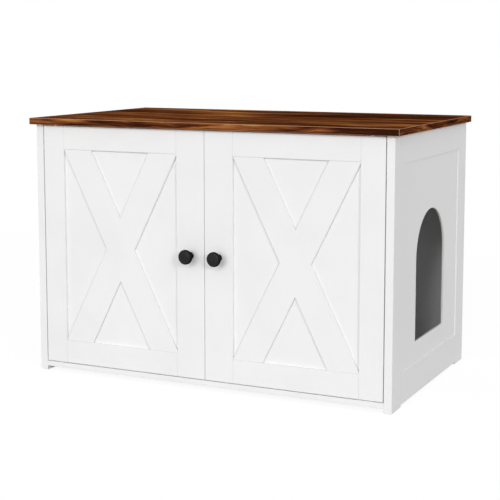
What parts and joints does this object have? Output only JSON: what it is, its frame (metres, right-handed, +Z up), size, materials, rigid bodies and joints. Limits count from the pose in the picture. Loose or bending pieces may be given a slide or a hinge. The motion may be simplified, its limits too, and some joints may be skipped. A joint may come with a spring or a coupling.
{
  "type": "cat litter box cabinet",
  "caption": "White wooden cabinet that hides a cat litter box, with a brown wood top, X-braced doors on concealed pivots, round black knobs and an arched cat entrance in its right side.",
  "frame": {"origin": "on the floor, under the middle of the whole object, door knobs included", "axes": "+X to the right seen from the front, +Y to the back, +Z up; the doors face -Y"},
  "size_m": [0.9, 0.551, 0.597],
  "materials": {
    "white_paint": "satin white paint on board",
    "brown_wood": "satin brown rustic wood grain",
    "dowel_wood": "plain turned beech",
    "zinc_steel": "zinc plated steel",
    "die_cast_zinc": "bare die-cast zinc",
    "black_knob": "satin black",
    "white_plastic": "moulded white plastic",
    "bush_nylon": "natural nylon",
    "magnet": "dull dark ferrite"
  },
  "bodies": {
    "cabinet": {"back_panel": "white_paint", "back_screws": "zinc_steel", "base_panel": "white_paint", "cam_bolts": "zinc_steel", "cam_locks": "die_cast_zinc", "case_dowels": "dowel_wood", "catch_screws": "zinc_steel", "divider_dowels": "dowel_wood", "divider_panel": "white_paint", "left_catch_housing": "white_plastic", "left_catch_magnet": "magnet", "left_front_stile": "white_paint", "left_lower_pivot_bush": "bush_nylon", "left_rear_stile": "white_paint", "left_side_bottom_rail": "white_paint", "left_side_panel": "white_paint", "left_side_top_rail": "white_paint", "left_upper_pivot_bush": "bush_nylon", "right_catch_housing": "white_plastic", "right_catch_magnet": "magnet", "right_front_stile": "white_paint", "right_lower_pivot_bush": "bush_nylon", "right_rear_stile": "white_paint", "right_side_bottom_rail": "white_paint", "right_side_panel": "white_paint", "right_side_top_rail": "white_paint", "right_upper_pivot_bush": "bush_nylon", "top_panel": "brown_wood"},
    "left_door": {"left_cross_brace": "white_paint", "left_door_bottom_rail": "white_paint", "left_door_panel": "white_paint", "left_door_top_rail": "white_paint", "left_hinge_stile": "white_paint", "left_knob": "black_knob", "left_knob_screw": "zinc_steel", "left_lower_pivot_pin": "zinc_steel", "left_meeting_stile": "white_paint", "left_strike_plate": "zinc_steel", "left_strike_screws": "zinc_steel", "left_upper_pivot_pin": "zinc_steel"},
    "right_door": {"right_cross_brace": "white_paint", "right_door_bottom_rail": "white_paint", "right_door_panel": "white_paint", "right_door_top_rail": "white_paint", "right_hinge_stile": "white_paint", "right_knob": "black_knob", "right_knob_screw": "zinc_steel", "right_lower_pivot_pin": "zinc_steel", "right_meeting_stile": "white_paint", "right_strike_plate": "zinc_steel", "right_strike_screws": "zinc_steel", "right_upper_pivot_pin": "zinc_steel"}
  },
  "joints": [
    {"name": "left_door_hinge", "type": "hinge", "parent": "cabinet", "child": "left_door", "pos_m": [-0.388, -0.2375, 0.30175], "axis": [0, 0, -1], "range_deg": [0, 110]},
    {"name": "right_door_hinge", "type": "hinge", "parent": "cabinet", "child": "right_door", "pos_m": [0.388, -0.2375, 0.30175], "axis": [0, 0, 1], "range_deg": [0, 110]}
  ]
}
